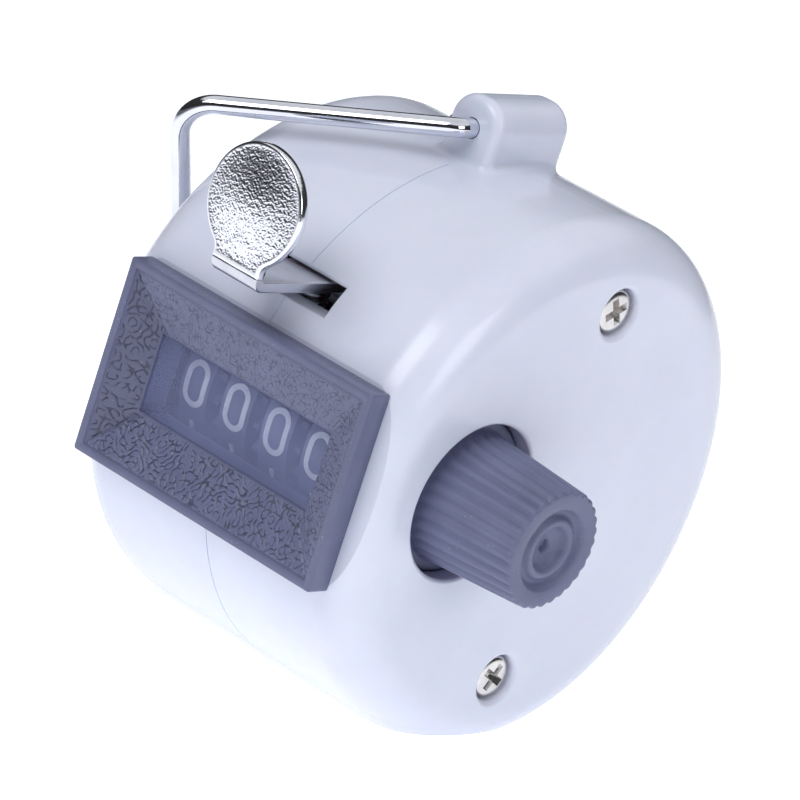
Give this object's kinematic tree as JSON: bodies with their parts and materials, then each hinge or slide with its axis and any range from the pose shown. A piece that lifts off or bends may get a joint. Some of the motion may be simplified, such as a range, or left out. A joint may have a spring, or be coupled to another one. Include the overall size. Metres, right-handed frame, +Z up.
{
  "type": "hand tally counter",
  "caption": "Drum-shaped hand tally counter with a chrome thumb lever, a number window, a ribbed reset knob and a folding wire finger ring.",
  "frame": {"origin": "centre of the flat foot under the case", "axes": "+Z up, the number window faces -Y, the reset knob points to +X"},
  "size_m": [0.0409, 0.0449, 0.0452],
  "materials": {
    "white_plastic": "glossy moulded ABS",
    "violet_plastic": "satin, leather grain on the bezel's slopes",
    "clear_lens": "clear polished",
    "zinc_screw": "bright zinc",
    "chrome_lever": "chrome plated, pebbled thumb face",
    "chrome_wire": "chrome plated wire",
    "frame_steel": "plain stamped steel",
    "spring_steel": "spring steel",
    "wheel_plastic": "satin with printed white numerals",
    "inner_plastic": "natural acetal"
  },
  "bodies": {
    "case": {"housing_left": "white_plastic", "housing_right": "white_plastic", "housing_screws": "zinc_screw", "window_bezel": "violet_plastic", "window_lens": "clear_lens", "frame_plate_left": "frame_steel", "frame_plate_right": "frame_steel", "frame_tie_rods": "frame_steel", "frame_bridge": "frame_steel", "pinion_shaft": "frame_steel", "lever_pivot_pin": "frame_steel", "detent_spring": "spring_steel", "lever_return_spring": "spring_steel", "drag_washer": "spring_steel"},
    "knob_and_shaft": {"reset_knob": "violet_plastic", "wheel_shaft": "frame_steel", "shaft_clip": "spring_steel", "wheel_spacer": "inner_plastic"},
    "units_wheel": {"number_wheel_units": "wheel_plastic", "ratchet_wheel": "inner_plastic"},
    "tens_wheel": {"number_wheel_tens": "wheel_plastic"},
    "hundreds_wheel": {"number_wheel_hundreds": "wheel_plastic"},
    "thousands_wheel": {"number_wheel_thousands": "wheel_plastic"},
    "tens_pinion": {"transfer_pinion_tens": "inner_plastic"},
    "hundreds_pinion": {"transfer_pinion_hundreds": "inner_plastic"},
    "thousands_pinion": {"transfer_pinion_thousands": "inner_plastic"},
    "lever": {"thumb_lever": "chrome_lever", "pawl_pin": "frame_steel", "pawl_spring": "spring_steel"},
    "pawl": {"drive_pawl": "frame_steel"},
    "ring": {"finger_ring": "chrome_wire"}
  },
  "joints": [
    {"name": "lever_press", "type": "hinge", "parent": "case", "child": "lever", "pos_m": [0, -0.0126, 0.02955], "axis": [1, 0, 0], "range_deg": [0, 10], "stiffness_Nm_per_rad": 0.12, "springref_deg": -28.65, "deforming": ["lever_return_spring"]},
    {"name": "pawl_swing", "type": "hinge", "parent": "lever", "child": "pawl", "pos_m": [0.008, -0.0126, 0.0252], "axis": [1, 0, 0], "range_deg": [0, 12], "stiffness_Nm_per_rad": 0.0005, "springref_deg": -17.19},
    {"name": "ring_swing", "type": "hinge", "parent": "case", "child": "ring", "pos_m": [0, 0.0001, 0.0427], "axis": [0, 1, 0], "range_deg": [0, 219]},
    {"name": "knob_turn", "type": "hinge", "parent": "case", "child": "knob_and_shaft", "pos_m": [0, -0.0095, 0.0196], "axis": [1, 0, 0], "continuous": true},
    {"name": "units_turn", "type": "hinge", "parent": "case", "child": "units_wheel", "pos_m": [0, -0.0095, 0.0196], "axis": [1, 0, 0], "continuous": true},
    {"name": "tens_turn", "type": "hinge", "parent": "case", "child": "tens_wheel", "pos_m": [0, -0.0095, 0.0196], "axis": [1, 0, 0], "continuous": true},
    {"name": "hundreds_turn", "type": "hinge", "parent": "case", "child": "hundreds_wheel", "pos_m": [0, -0.0095, 0.0196], "axis": [1, 0, 0], "continuous": true},
    {"name": "thousands_turn", "type": "hinge", "parent": "case", "child": "thousands_wheel", "pos_m": [0, -0.0095, 0.0196], "axis": [1, 0, 0], "continuous": true},
    {"name": "tens_pinion_turn", "type": "hinge", "parent": "case", "child": "tens_pinion", "pos_m": [0, -0.00357, 0.01366], "axis": [1, 0, 0], "continuous": true},
    {"name": "hundreds_pinion_turn", "type": "hinge", "parent": "case", "child": "hundreds_pinion", "pos_m": [0, -0.00357, 0.01366], "axis": [1, 0, 0], "continuous": true},
    {"name": "thousands_pinion_turn", "type": "hinge", "parent": "case", "child": "thousands_pinion", "pos_m": [0, -0.00357, 0.01366], "axis": [1, 0, 0], "continuous": true}
  ],
  "couplings": [
    {"joint": "tens_turn", "follows": "units_turn", "ratio": 0.1},
    {"joint": "hundreds_turn", "follows": "units_turn", "ratio": 0.01},
    {"joint": "thousands_turn", "follows": "units_turn", "ratio": 0.001},
    {"joint": "tens_pinion_turn", "follows": "units_turn", "ratio": -0.25},
    {"joint": "hundreds_pinion_turn", "follows": "units_turn", "ratio": -0.025},
    {"joint": "thousands_pinion_turn", "follows": "units_turn", "ratio": -0.0025}
  ]
}
